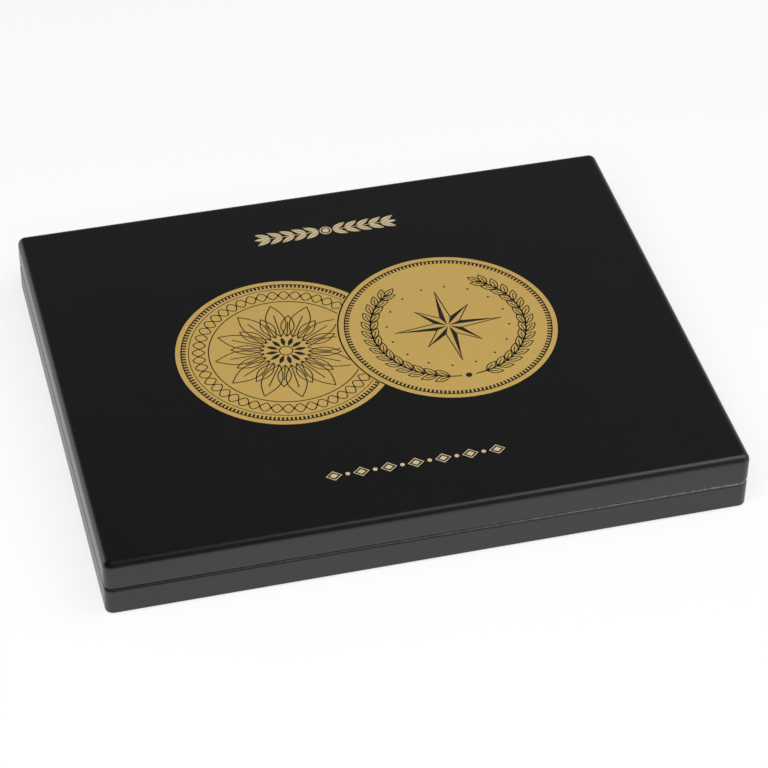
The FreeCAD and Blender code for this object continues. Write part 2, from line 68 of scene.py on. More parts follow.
# Softened edges of the fittings
LEAF_EDGE = 0.00012
SCREW_EDGE = 0.00006
MAGNET_EDGE = 0.0003
EDGE_STEPS = 2
EDGE_ANGLE = math.radians(40)

# The values between which most of a noise lies
NOISE_LOW = 0.3
NOISE_HIGH = 0.7

# The satin as cloth, under the names of Blender's cloth settings
SATIN_CLOTH = {
    "quality": 6,
    "mass": 0.1,
    "tension_stiffness": 20,
    "compression_stiffness": 20,
    "shear_stiffness": 8,
    "bending_stiffness": 0.05,
}

# How firmly the wadding holds the satin next to the border, how much more far from it, and how
# late that comes
EDGE_HOLD = 0.03
PAD_HOLD = 0.4
HOLD_POWER = 4

# The satin before it settles: its share of the crown, the part of the gathered strip where its
# gathers are highest, and how far, how often and from where their spacing drifts
START_CROWN = 0.8
GATHER_PEAK = 3
GATHER_DRIFTS = ((0.3, 1.3, 0), (0.2, 0.57, 1))

FLOOR_COLOUR = (0.88, 0.88, 0.88, 1)
SENSOR_WIDTH = 36


# Settings

def length(label, value, meaning):
    """A length property in metres."""
    return FloatProperty(name=label, description=meaning, default=value, unit="LENGTH", precision=5)


def share(label, value, meaning):
    """A plain number property."""
    return FloatProperty(name=label, description=meaning, default=value, precision=4)


def count(label, value, meaning):
    """A whole number property."""
    return IntProperty(name=label, description=meaning, default=value, min=1)


def angle(label, degrees, meaning):
    """An angle property, given in degrees."""
    return FloatProperty(name=label, description=meaning, default=math.radians(degrees), subtype="ANGLE")


def power(label, watts, meaning):
    """A light's power property, in watts."""
    return FloatProperty(name=label, description=meaning, default=watts, unit="POWER")


class ShellSettings(bpy.types.PropertyGroup):
    """Edges of the lacquered lid and base."""
    corner: length("Corner", 0.004, "Radius of the upright outside corners")
    top_round: length("Top round", 0.0036, "Round along the upper edge of the lid")
    foot_round: length("Foot round", 0.0004, "Round along the lower edge of the base")
    lid_lip: length("Lid lip", 0.0019, "Outer round of the lid's lip")
    base_lip: length("Base lip", 0.0017, "Outer round of the base's lip")
    inner_lip: length("Inner lip", 0.0008, "Inner round of both lips")
    inner_corner: length("Inner corner", 0.0003, "Radius of the upright inside corners")
    mortise_depth: length("Mortise depth", 0.00115, "Hinge mortise below the lip")
    clearance: length("Clearance", 0.00015, "Room round a hinge leaf in its mortise")
    barrel_room: length("Barrel room", 0.0022, "Radius of the notch round the hinge barrel")
    socket_room: length("Socket room", 0.00005, "Room round a magnet in its socket")


class TraySettings(bpy.types.PropertyGroup):
    """Form of the flocked tray."""
    well_radius: length("Well radius", 0.02, "Radius of a coin well")
    well_lip: length("Well lip", 0.0015, "Round at the mouth of a well")
    well_foot: length("Well foot", 0.0012, "Round between wall and floor of a well")
    edge_round: length("Edge round", 0.0015, "Round along the upper edge of the tray")
    cell_steps: count("Cell steps", 20, "Mesh steps along one side of a well's cell")
    floor_room: length("Floor room", 0.0001, "Stated opening above the floor of a well")


class LiningSettings(bpy.types.PropertyGroup):
    """Form of the padded satin in the lid."""
    border: length("Border", 0.0016, "Straight border of the satin, from the edge of the panel")
    crown: length("Crown", 0.0029, "How far the padding stands out of its border")
    swell: length("Swell", 0.006, "Distance from the border in which the padding rises")
    gather: length("Gather", 0.016, "Distance from the border in which the satin is gathered")
    cover: length("Cover", 0.0004, "Satin round the edge of the card")
    pucker: length("Pucker", 0.0105, "Usual distance between two gathers along the border")
    pucker_height: length("Pucker height", 0.0004, "Height of the gathers before the satin settles")
    columns: count("Columns", 190, "Cloth cells along the panel")
    rows: count("Rows", 150, "Cloth cells across the panel")
    fullness: share("Fullness", 0.06, "Extra share of satin gathered at the border")
    frames: count("Frames", 30, "Simulated frames")


class FoilSettings(bpy.types.PropertyGroup):
    """Gold print on the lid."""
    gap: length("Gap", 0.0008, "Bare line round the roundel in front")
    foil: length("Foil", 0.00006, "Height of the foil on the lacquer")
    relief: length("Relief", 0.00008, "Height of the line work on the lacquer")
    line: length("Line", 0.00056, "Width of a drawn line")
    teeth: count("Teeth", 155, "Dark teeth round the rim of a roundel")
    leaf_pairs: count("Leaf pairs", 5, "Pairs of garland leaves on each side")
    lozenges: count("Lozenges", 7, "Lozenges in the lower row")


class StageSettings(bpy.types.PropertyGroup):
    """Camera, light and floor."""
    azimuth: angle("Azimuth", -14.91, "Camera direction round the case, from its front")
    elevation: angle("Elevation", 40.92, "Camera height above the horizon")
    roll: angle("Roll", 0.83, "Camera turn about its line of sight")
    distance: length("Distance", 1.4175, "Camera to target")
    target: FloatVectorProperty(name="Target", description="Point that the camera looks at",
                                default=(0.00376, -0.01519, 0.0158), subtype="XYZ", unit="LENGTH")
    lens: share("Lens", 137.35, "Focal length in millimetres on a 36 mm sensor")
    key_azimuth: angle("Key azimuth", 73, "Direction of the softbox round the case")
    key_elevation: angle("Key elevation", 58.5, "Height of the softbox above the horizon")
    key_distance: length("Key distance", 1.55, "Softbox to case")
    key_size: length("Key size", 1.0, "Side of the softbox")
    key_power: power("Key power", 6.2, "Power of the softbox")
    fill_azimuth: angle("Fill azimuth", -30, "Direction of the fill light round the case")
    fill_elevation: angle("Fill elevation", 55, "Height of the fill light above the horizon")
    fill_distance: length("Fill distance", 2.0, "Fill light to case")
    fill_size: length("Fill size", 2.0, "Side of the fill light")
    fill_power: power("Fill power", 45, "Power of the fill light")
    floor_size: length("Floor size", 6, "Half the side of the floor")
    floor_glow: share("Floor glow", 0.7, "Share of the floor that shows as plain white")
    rear: share("Rear", 0.28, "Brightness of the surroundings low behind the case")
    room: share("Room", 0.05, "Brightness of the surroundings elsewhere")
    right: share("Right", 0.6, "Brightness of the surroundings to the right of the case")
    patch: share("Patch", 1.5, "Brightness of the light patch low behind the case on the left")
    patch_azimuth: angle("Patch azimuth", -140, "Direction of the light patch round the case")
    patch_elevation: angle("Patch elevation", 7, "Height of the light patch above the horizon")


class CoinCaseSettings(bpy.types.PropertyGroup):
    """All settings of the coin case."""
    shell: PointerProperty(type=ShellSettings)
    tray: PointerProperty(type=TraySettings)
    lining: PointerProperty(type=LiningSettings)
    foil: PointerProperty(type=FoilSettings)
    stage: PointerProperty(type=StageSettings)


# Finishes

def add_node(tree, kind, sockets, operation=None):
    """A shader node with sockets, by name or number, linked to an output or set to a value."""
    node = tree.nodes.new(f"ShaderNode{kind}")
    if operation:
        node.operation = operation
    for key, value in sockets.items():
        if isinstance(value, bpy.types.NodeSocket):
            tree.links.new(value, node.inputs[key])
        else:
            node.inputs[key].default_value = value
    return node


def colour_ramp(tree, source, stops):
    """Colours that a number picks between stops of (position, colour)."""
    ramp = add_node(tree, "ValToRGB", {"Fac": source})
    elements = ramp.color_ramp.elements
    while len(elements) < len(stops):
        # Any place will do, as every stop is placed below
        elements.new(0.5)
    for element, (position, colour) in zip(elements, stops):
        element.position = position
        element.color = (*colour, 1)
    return ramp.outputs["Color"]


def grey_ramp(tree, source, stops):
    """Greys that a number picks between stops of (position, level)."""
    return colour_ramp(tree, source, [(position, (level, level, level)) for position, level in stops])


class Finish:
    """A principled material whose textures lie in the case's own coordinates."""

    def __init__(self, name, **sockets):
        """Start with plain values for the shader's sockets, whose spaces are underscores here."""
        self.material = bpy.data.materials.new(name)
        self.material.use_nodes = True
        self.tree = self.material.node_tree
        self.tree.nodes.clear()
        plain = {socket.replace("_", " "): value for socket, value in sockets.items()}
        self.shader = add_node(self.tree, "BsdfPrincipled", plain)
        add_node(self.tree, "OutputMaterial", {"Surface": self.shader.outputs["BSDF"]})
        self.place = add_node(self.tree, "TexCoord", {}).outputs["Object"]

    def feed(self, socket, source):
        """Link an output to a socket of the shader."""
        self.tree.links.new(source, self.shader.inputs[socket])

    def noise(self, scale, detail=2.0, stretch=(1, 1, 1)):
        """Noise with that many waves in a metre, drawn out along the axes."""
        mapping = add_node(self.tree, "Mapping", {"Vector": self.place, "Scale": stretch})
        sockets = {"Vector": mapping.outputs["Vector"], "Scale": scale, "Detail": detail}
        return add_node(self.tree, "TexNoise", sockets).outputs["Fac"]

    def colour(self, pattern, dark, light):
        """The base colour, between two tones."""
        self.feed("Base Color", colour_ramp(self.tree, pattern, ((NOISE_LOW, dark), (NOISE_HIGH, light))))

    def roughness(self, pattern, low, high):
        """The roughness, between two values."""
        spread = add_node(self.tree, "MapRange", {"Value": pattern, "To Min": low, "To Max": high,
                                                  "From Min": NOISE_LOW, "From Max": NOISE_HIGH})
        self.feed("Roughness", spread.outputs["Result"])

    def bump(self, pattern, height):
        """Fine relief of that height in metres."""
        relief = add_node(self.tree, "Bump", {"Height": pattern, "Distance": height})
        self.feed("Normal", relief.outputs["Normal"])

    def along(self, axis, stops):
        """A level that changes along an axis of the case, through stops of (place, level)."""
        parts = add_node(self.tree, "SeparateXYZ", {"Vector": self.place})
        start, end = stops[0][0], stops[-1][0]
        span = add_node(self.tree, "MapRange", {"Value": parts.outputs[axis], "From Min": start,
                                                "From Max": end})
        shares = [((place - start) / (end - start), level) for place, level in stops]
        return grey_ramp(self.tree, span.outputs["Result"], shares)

    def paint_highlight(self, tone, *masks):
        """The base colour turned towards a tone where every mask is high, used to paint a highlight."""
        weight = masks[0]
        for mask in masks[1:]:
            weight = add_node(self.tree, "Math", {0: weight, 1: mask}, "MULTIPLY").outputs["Value"]
        coat = self.shader.inputs["Base Color"].links[0].from_socket
        mix = add_node(self.tree, "MixRGB", {"Fac": weight, "Color1": coat, "Color2": (*tone, 1)})
        self.feed("Base Color", mix.outputs["Color"])


def corners_of(node):
    """Lowest and highest corner of a CAD node."""
    low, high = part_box(node)
    return Vector(low), Vector(high)


def lacquer_coat(name):
    """Satin black lacquer with a faint orange peel."""
    finish = Finish(name, IOR=1.6)
    finish.colour(finish.noise(40, 3), (0.0015, 0.0015, 0.0016), (0.0022, 0.0022, 0.0023))
    finish.roughness(finish.noise(400, 3), 0.3, 0.35)
    finish.bump(finish.noise(900), 0.000004)
    return finish


def lacquer():
    """The lid's lacquer."""
    return lacquer_coat("black_lacquer")


def lacquer_painted_highlight():
    """The base's lacquer with a painted highlight along the outer round of its lip, brighter towards the
    right where the light falls, broken into specks.
    """
    finish = lacquer_coat("lacquer_painted_highlight")
    end = corners_of("base_front_rail")[1]
    lowest, low, high = end.z - 0.0009, end.z - 0.0005, end.z - 0.0001
    left, middle, right = 0.08, 0.35, 1
    # Painted highlight: a lighter tone on the lip's outer round, stronger to the right
    highlight_tone = (0.22, 0.22, 0.23)
    lip = finish.along("Z", ((lowest, 0), (low, 1), (high, 1), (end.z, 0)))
    side = finish.along("X", ((-end.x, left), (0, middle), (end.x, right)))
    specks = grey_ramp(finish.tree, finish.noise(420, 3), ((0.4, 0.55), (0.6, 1)))
    finish.paint_highlight(highlight_tone, lip, side, specks)
    return finish


def stamped_foil(name, metallic, grain, dark, light):
    """Hot stamped foil, part mirror and part body colour."""
    finish = Finish(name, Metallic=metallic)
    finish.colour(finish.noise(*grain), dark, light)
    finish.roughness(finish.noise(500, 3), 0.38, 0.48)
    finish.bump(finish.noise(1500), 0.000006)
    return finish


def foil_gold():
    """The foil of the roundels."""
    return stamped_foil("gold_foil", 0.55, (900, 3), (0.84, 0.555, 0.15), (0.89, 0.6, 0.18))


def pale_gold():
    """Paler foil for the fine ornaments."""
    return stamped_foil("pale_gold", 0.5, (400, 4), (0.88, 0.71, 0.41), (0.94, 0.77, 0.47))


def bare_line():
    """Lacquer that shows through the foil as drawn lines."""
    finish = Finish("bare_line", IOR=1.5)
    finish.colour(finish.noise(200), (0.008, 0.0075, 0.007), (0.014, 0.013, 0.011))
    finish.roughness(finish.noise(300), 0.38, 0.5)
    return finish


def velour():
    """Short black flock with a soft sheen."""
    finish = Finish("black_velour", Sheen_Weight=0.35, Sheen_Roughness=0.45,
                    Sheen_Tint=(0.5, 0.5, 0.55, 1), Specular_IOR_Level=0.1)
    finish.colour(finish.noise(900, 5), (0.006, 0.006, 0.007), (0.02, 0.02, 0.022))
    finish.roughness(finish.noise(400, 3), 0.85, 1.0)
    finish.bump(finish.noise(2600, 3), 0.00012)
    return finish


def satin():
    """Ivory satin with its threads along the case."""
    finish = Finish("ivory_satin", Sheen_Weight=0.3, Sheen_Roughness=0.35, Anisotropic=0.4)
    finish.colour(finish.noise(900, 3, (0.4, 4, 4)), (0.77, 0.73, 0.64), (0.81, 0.775, 0.69))
    finish.roughness(finish.noise(600, 3, (0.4, 3, 3)), 0.34, 0.4)
    finish.bump(finish.noise(2200, 2, (0.3, 3, 3)), 0.000005)
    return finish


def felt():
    """Pressed black felt."""
    finish = Finish("black_felt", Sheen_Weight=0.3, Sheen_Roughness=0.5, Specular_IOR_Level=0.1)
    finish.colour(finish.noise(700, 6), (0.011, 0.011, 0.012), (0.034, 0.034, 0.035))
    finish.roughness(finish.noise(200), 0.9, 1.0)
    finish.bump(finish.noise(1700, 5), 0.00018)
    return finish


def card():
    """Grey card with specks of fibre."""
    finish = Finish("lining_card")
    finish.colour(finish.noise(900, 6), (0.4, 0.35, 0.28), (0.5, 0.45, 0.37))
    finish.roughness(finish.noise(300), 0.8, 0.92)
    finish.bump(finish.noise(1500, 4), 0.00003)
    return finish


def brass():
    """Polished brass with faint handling marks."""
    finish = Finish("brass", Metallic=0.82)
    finish.colour(finish.noise(160), (0.8, 0.57, 0.21), (0.84, 0.61, 0.24))
    finish.roughness(finish.noise(120), 0.2, 0.24)
    finish.bump(finish.noise(250), 0.000003)
    return finish


def nickel():
    """Nickel plate with faint rubbing marks."""
    finish = Finish("nickel", Metallic=1.0)
    finish.colour(finish.noise(300), (0.6, 0.58, 0.55), (0.66, 0.64, 0.61))
    finish.roughness(finish.noise(250), 0.2, 0.26)
    finish.bump(finish.noise(250), 0.000003)
    return finish


made_finishes = {}


def finish_of(maker):
    """The material that a function makes, made once."""
    if maker not in made_finishes:
        made_finishes[maker] = maker().material
    return made_finishes[maker]


# Points

def spaced(start, end, steps):
    """Numbers evenly spaced from start to end."""
    return [start + (end - start) * step / steps for step in range(steps + 1)]


def polar(radius, turn):
    """A point at a radius and an angle."""
    return radius * math.cos(turn), radius * math.sin(turn)


def circle(radius, steps):
    """Points evenly spaced round the origin."""
    return [polar(radius, math.tau * step / steps) for step in range(steps)]


def leaf_edge(size, bulge, steps):
    """Points along one edge of a pointed leaf, from its root to its tip."""
    return [(size * part, bulge * size * math.sin(math.pi * part)) for part in spaced(0, 1, steps)]


def turned(x, y, turn, across, back):
    """A point turned about the origin, then moved."""
    return (across + x * math.cos(turn) - y * math.sin(turn),
            back + x * math.sin(turn) + y * math.cos(turn))


def arc(inset, level, radius, start, end):
    """Points (inset, level) of an arc round a centre, from one angle in degrees to another."""
    turns = [math.radians(turn) for turn in spaced(start, end, ARC_STEPS)]
    return [(inset + radius * math.cos(turn), level + radius * math.sin(turn)) for turn in turns]


def rounded_rectangle(half_x, half_y, radius):
    """Points of a rectangle about the origin with round corners, anticlockwise."""
    points = []
    for quarter, (right, back) in enumerate(((1, 1), (-1, 1), (-1, -1), (1, -1))):
        for step in range(ARC_STEPS + 1):
            turn = math.pi / 2 * (quarter + step / ARC_STEPS)
            points.append((right * (half_x - radius) + radius * math.cos(turn),
                           back * (half_y - radius) + radius * math.sin(turn)))
    return points


# Meshes

def new_object(name, data):
    """An object with that data, put in the scene."""
    item = bpy.data.objects.new(name, data)
    bpy.context.scene.collection.objects.link(item)
    return item


def evaluated_mesh(item):
    """The object's mesh with its modifiers applied."""
    graph = bpy.context.evaluated_depsgraph_get()
    return bpy.data.meshes.new_from_object(item.evaluated_get(graph))


def to_mesh(name, form):
    """The mesh of a bmesh, with its normals outwards."""
    bmesh.ops.recalc_face_normals(form, faces=form.faces)
    mesh = bpy.data.meshes.new(name)
    form.to_mesh(mesh)
    form.free()
    return mesh


def weight_normals(item):
    """Let the large faces of an object set its shading, up to its sharp edges."""
    weighted = item.modifiers.new("weighted normals", "WEIGHTED_NORMAL")
    weighted.keep_sharp = True


def finished_piece(name, form, maker, body, slot, *nodes):
    """Put a finished form in the scene: shaded, painted, riding its body in place of CAD nodes."""
    mesh = to_mesh(name, form)
    mesh.shade_smooth()
    mesh.set_sharp_from_angle(angle=SMOOTH_ANGLE)
    mesh.materials.append(finish_of(maker))
    piece = new_object(name, mesh)
    weight_normals(piece)
    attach(piece, body)
    if nodes:
        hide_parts(*nodes)
    return piece


def dress_node(name, maker, soft_edge):
    """Give a CAD node its finish, and soft edges of that width if any."""
    node = frame["nodes"][name]
    node.data.materials.clear()
    node.data.materials.append(finish_of(maker))
    if soft_edge:
        weld = node.modifiers.new("weld", "WELD")
        weld.merge_threshold = MERGE_DISTANCE
        bevel = node.modifiers.new("soft edges", "BEVEL")
        bevel.width = soft_edge
        bevel.segments = EDGE_STEPS
        bevel.limit_method = "ANGLE"
        bevel.angle_limit = EDGE_ANGLE
        weight_normals(node)


def bridge(form, rings):
    """Faces between each two neighbouring rings of vertices."""
    for lower, upper in zip(rings, rings[1:]):
        for index in range(len(lower)):
            following = (index + 1) % len(lower)
            form.faces.new((lower[index], lower[following], upper[following], upper[index]))


def loft(half_x, half_y, corner, least_corner, profile):
    """A closed form whose outline steps in and up along a profile of (inset, level)."""
    form = bmesh.new()
    rings = []
    for inset, level in profile:
        radius = max(corner - inset, least_corner)
        outline = rounded_rectangle(half_x - inset, half_y - inset, radius)
        rings.append([form.verts.new((x, y, level)) for x, y in outline])
    bridge(form, rings)
    form.faces.new(rings[0])
    form.faces.new(rings[-1])
    return form


# Lid and base

def box_tool(low, high):
    """A box between two corners."""
    form = bmesh.new()
    place = Matrix.Translation((low + high) / 2) @ Matrix.Diagonal((*(high - low), 1))
    bmesh.ops.create_cube(form, size=1, matrix=place)
    return form


def round_tool(start, end, radius):
    """A cylinder between two points."""
    form = bmesh.new()
    line = end - start
    place = Matrix.Translation((start + end) / 2) @ line.to_track_quat("Z", "Y").to_matrix().to_4x4()
    bmesh.ops.create_cone(form, cap_ends=True, segments=CUTTER_STEPS, radius1=radius, radius2=radius,
                          depth=line.length, matrix=place)
    return form


def cut(form, tools):
    """The form with each tool taken away from it, and the slivers of the cuts merged."""
    scratch = new_object("scratch", to_mesh("scratch", form))
    helpers = [new_object("tool", to_mesh("tool", tool)) for tool in tools]
    for helper in helpers:
        boolean = scratch.modifiers.new("cut", "BOOLEAN")
        boolean.operation = "DIFFERENCE"
        boolean.solver = "EXACT"
        boolean.object = helper
    result = evaluated_mesh(scratch)
    form = bmesh.new()
    form.from_mesh(result)
    bmesh.ops.remove_doubles(form, verts=form.verts, dist=MERGE_DISTANCE)
    bmesh.ops.dissolve_degenerate(form, edges=form.edges, dist=MERGE_DISTANCE)
    for mesh in [result, scratch.data, *[helper.data for helper in helpers]]:
        bpy.data.meshes.remove(mesh)
    return form


def seat_tools(part, lip, inward, shell):
    """Tools for the hinge mortises, barrel notches and magnet sockets of the lid or the base."""
    tools = []
    overrun = shell.mortise_depth
    depths = sorted((lip - inward * overrun, lip + inward * shell.mortise_depth))
    for side in SIDES:
        low, high = corners_of(f"{side}_hinge_{part}_leaf")
        pin_low, pin_high = corners_of(f"{side}_hinge_pin")
        axis = (pin_low + pin_high) / 2
        left, right = pin_low.x - shell.clearance, pin_high.x + shell.clearance
        tools.append(box_tool(Vector((left, low.y - shell.clearance, depths[0])),
                              Vector((right, high.y + overrun, depths[1]))))
        tools.append(round_tool(Vector((left, axis.y, axis.z)), Vector((right, axis.y, axis.z)),
                                shell.barrel_room))
        low, high = corners_of(f"{part}_{side}_magnet")
        middle = (low + high) / 2
        bottom = high.z if inward > 0 else low.z
        tools.append(round_tool(Vector((middle.x, middle.y, lip - inward * overrun)),
                                Vector((middle.x, middle.y, bottom)),
                                (high.x - low.x) / 2 + shell.socket_room))
    return tools


def build_shell(part, shell):
    """The lacquered lid or base as one seamless form, with the seats of its fittings."""
    board = "lid_top_board" if part == "lid" else "base_board"
    low, high = corners_of(board)
    rail_low, rail_high = corners_of(f"{part}_front_rail")
    wall = rail_high.y - rail_low.y
    if part == "lid":
        coat, inward, lip, inner = lacquer, 1, rail_low.z, low.z
        profile = arc(shell.top_round, high.z - shell.top_round, shell.top_round, 90, 180)
        profile += arc(shell.lid_lip, lip + shell.lid_lip, shell.lid_lip, 180, 270)
        profile += arc(wall - shell.inner_lip, lip + shell.inner_lip, shell.inner_lip, 270, 360)
    else:
        coat, inward, lip, inner = lacquer_painted_highlight, -1, rail_high.z, high.z
        profile = arc(shell.foot_round, low.z + shell.foot_round, shell.foot_round, 270, 180)
        profile += arc(shell.base_lip, lip - shell.base_lip, shell.base_lip, 180, 90)
        profile += arc(wall - shell.inner_lip, lip - shell.inner_lip, shell.inner_lip, 90, 0)
    profile.append((wall, inner))
    form = cut(loft(high.x, high.y, shell.corner, shell.inner_corner, profile),
               seat_tools(part, lip, inward, shell))
    rails = [f"{part}_{side}_rail" for side in ("front", "right", "rear", "left")]
    finished_piece(f"{part}_shell", form, coat, part, "black_lacquer", board, *rails)


def build_felt(shell):
    """The felt sheet under the base, with a soft cut edge."""
    low, high = corners_of("base_felt")
    soft = (high.z - low.z) / 3
    profile = [(0, high.z)] + arc(soft, low.z + soft, soft, 180, 270)
    form = loft(high.x, high.y, shell.corner, shell.inner_corner, profile)
    piece = finished_piece("felt_sheet", form, felt, "base", "black_felt", "base_felt")


# Tray

def well_places():
    """Centre of each coin well, row by row, and the lowest stated level in it."""
    openings = frame["record"]["physics"]["openings"]
    boxes = [item["box_m"] for item in openings if item["name"].startswith("coin_well")]
    return [((low[0] + high[0]) / 2, (low[1] + high[1]) / 2) for low, high in boxes], boxes[0][0][2]


def cell_outline(half_x, half_y, steps):
    """Points round a rectangular cell with the angle on the well that each one goes with."""
    corners = [(half_x, -half_y), (half_x, half_y), (-half_x, half_y), (-half_x, -half_y)]
    points = []
    for side in range(4):
        (x0, y0), (x1, y1) = corners[side], corners[(side + 1) % 4]
        for step in range(steps):
            part = step / steps
            points.append((x0 + (x1 - x0) * part, y0 + (y1 - y0) * part,
                           math.pi / 2 * (side + part) - math.pi / 4))
    return points


def add_well(form, place, cell, profile):
    """One well in its cell of the tray top, down to its floor."""
    across, back = place
    top = profile[0][1]
    rings = [[form.verts.new((across + x, back + y, top)) for x, y, turn in cell]]
    for radius, level in profile:
        circle = [polar(radius, turn) for x, y, turn in cell]
        rings.append([form.verts.new((across + x, back + y, level)) for x, y in circle])
    bridge(form, rings)
    form.faces.new(rings[-1])


def add_tray_edge(form, half_x, half_y, low, high, radius):
    """The tray's rim, side faces and underside round the open border of the grid of wells."""
    border = [edge for edge in form.edges if edge.is_boundary]
    points = list(dict.fromkeys(vertex for edge in border for vertex in edge.verts))
    reach_x = max(vertex.co.x for vertex in points)
    reach_y = max(vertex.co.y for vertex in points)
    profile = [(radius - x, y) for x, y in arc(0, high - radius, radius, 90, 0)] + [(0, low)]
    above = {vertex: vertex for vertex in points}
    for inset, level in profile:
        below = {}
        for vertex in points:
            below[vertex] = form.verts.new((vertex.co.x * (half_x - inset) / reach_x,
                                            vertex.co.y * (half_y - inset) / reach_y, level))
        for edge in border:
            first, second = edge.verts
            form.faces.new((above[first], above[second], below[second], below[first]))
        above = below
    form.faces.new(sorted(above.values(), key=lambda vertex: math.atan2(vertex.co.y, vertex.co.x)))


def build_tray(tray):
    """The flocked tray with its round wells, soft at every lip."""
    low, high = corners_of("coin_tray")
    places, stated = well_places()
    floor = stated - tray.floor_room
    across = sorted({round(x, 6) for x, y in places})
    back = sorted({round(y, 6) for x, y in places})
    cell = cell_outline((across[1] - across[0]) / 2, (back[1] - back[0]) / 2, tray.cell_steps)
    lip = arc(0, high.z - tray.well_lip, tray.well_lip, 90, 0)
    foot = arc(0, floor + tray.well_foot, tray.well_foot, 0, -90)
    profile = [(tray.well_radius + tray.well_lip - x, level) for x, level in lip]
    profile += [(tray.well_radius - tray.well_foot + x, level) for x, level in foot]
    form = bmesh.new()
    for place in places:
        add_well(form, place, cell, profile)
    bmesh.ops.remove_doubles(form, verts=form.verts, dist=MERGE_DISTANCE)
    add_tray_edge(form, high.x, high.y, low.z, high.z, tray.edge_round)
    finished_piece("flocked_tray", form, velour, "base", "black_velour", "coin_tray")


# Lining

def gathers(run, inside, lining):
    """Uneven waves along the border that die out towards the middle."""
    turns = run / lining.pucker
    drifting = turns
    for size, pace, start in GATHER_DRIFTS:
        drifting += size * math.sin(pace * turns + start)
    near = inside / (lining.gather / GATHER_PEAK)
    return math.sin(math.tau * drifting) * near * math.exp(1 - near)


def satin_sheet(half_x, half_y, level, lining):
    """The satin before it settles: its mesh, the points of its border in order, and how firmly
    each point is held and how much it is gathered."""
    form = bmesh.new()
    grid, held, gathered = [], [], []
    for row in range(lining.rows + 1):
        y = half_y * (2 * row / lining.rows - 1)
        line = []
        for column in range(lining.columns + 1):
            x = half_x * (2 * column / lining.columns - 1)
            from_end, from_side = half_x - abs(x), half_y - abs(y)
            inside = min(from_end, from_side)
            rise = 1 - math.exp(-inside / lining.swell)
            depth = lining.crown * START_CROWN * rise
            depth += lining.pucker_height * (gathers(x, from_side, lining) + gathers(y, from_end, lining))
            line.append(form.verts.new((x, y, level - depth)))
            on_border = row in (0, lining.rows) or column in (0, lining.columns)
            held.append(1.0 if on_border else EDGE_HOLD + PAD_HOLD * rise ** HOLD_POWER)
            gathered.append(math.exp(-inside / lining.gather))
        grid.append(line)
    for lower, upper in zip(grid, grid[1:]):
        for column in range(lining.columns):
            form.faces.new((lower[column], upper[column], upper[column + 1], lower[column + 1]))
    loop = grid[0] + [line[-1] for line in grid[1:-1]]
    loop += grid[-1][::-1] + [line[0] for line in grid[-2:0:-1]]
    form.verts.index_update()
    border = [vertex.index for vertex in loop]
    mesh = bpy.data.meshes.new("satin_sheet")
    form.to_mesh(mesh)
    form.free()
    return mesh, border, held, gathered


def settle_satin(mesh, held, gathered, lining):
    """Let the gathered satin find its folds over the padding as cloth, and return its mesh."""
    scene = bpy.context.scene
    sheet = new_object("satin_sheet", mesh)
    for name, weights in (("held", held), ("gathered", gathered)):
        group = sheet.vertex_groups.new(name=name)
        for index, weight in enumerate(weights):
            group.add([index], weight, "REPLACE")
    cloth = sheet.modifiers.new("satin", "CLOTH")
    settings = cloth.settings
    for name, value in SATIN_CLOTH.items():
        setattr(settings, name, value)
    settings.vertex_group_mass = "held"
    settings.vertex_group_shrink = "gathered"
    settings.shrink_min = 0
    settings.shrink_max = -lining.fullness
    settings.effector_weights.gravity = 0
    cloth.collision_settings.use_collision = False
    cloth.point_cache.frame_start = 1
    cloth.point_cache.frame_end = lining.frames
    for number in range(1, lining.frames + 1):
        scene.frame_set(number)
    settled = evaluated_mesh(sheet)
    bpy.data.meshes.remove(mesh)
    scene.frame_set(1)
    return settled


def turned_edge(level, low, high, lining):
    """Steps (inset, level) of the satin from its border round the panel's edge to the card."""
    steps = [(lining.border * (1 - math.sin(turn)), level + lining.border * (1 - math.cos(turn)))
             for turn in spaced(0, math.pi / 2, ROLL_STEPS)[1:]]
    return steps + [(0, high), (lining.cover, high), (lining.cover, low)]


def build_lining(lining):
    """The padded satin panel: cloth gathered over the wadding and turned up round the card."""
    low, high = corners_of("lid_lining_satin")
    card_low = corners_of("lid_lining_card")[0]
    half_x, half_y = high.x - lining.border, high.y - lining.border
    level = low.z + lining.crown
    mesh, border, held, gathered = satin_sheet(half_x, half_y, level, lining)
    mesh = settle_satin(mesh, held, gathered, lining)
    form = bmesh.new()
    form.from_mesh(mesh)
    bpy.data.meshes.remove(mesh)
    deepest = level - min(vertex.co.z for vertex in form.verts)
    for vertex in form.verts:
        depth = (level - vertex.co.z) * min(1, lining.crown / deepest)
        vertex.co.z = level - max(depth, 0)
    form.verts.ensure_lookup_table()
    rings = [[form.verts[index] for index in border]]
    for inset, height in turned_edge(level, card_low.z, high.z, lining):
        grow_x, grow_y = (high.x - inset) / half_x, (high.y - inset) / half_y
        rings.append([form.verts.new((vertex.co.x * grow_x, vertex.co.y * grow_y, height))
                      for vertex in rings[0]])
    bridge(form, rings)
    form.faces.new(rings[-1])
    piece = finished_piece("satin_pad", form, satin, "lid", "ivory_satin",
                           "lid_lining_satin", "lid_lining_wadding")


# Gold print

def everywhere(x, y):
    """Keep the print at every place."""
    return True


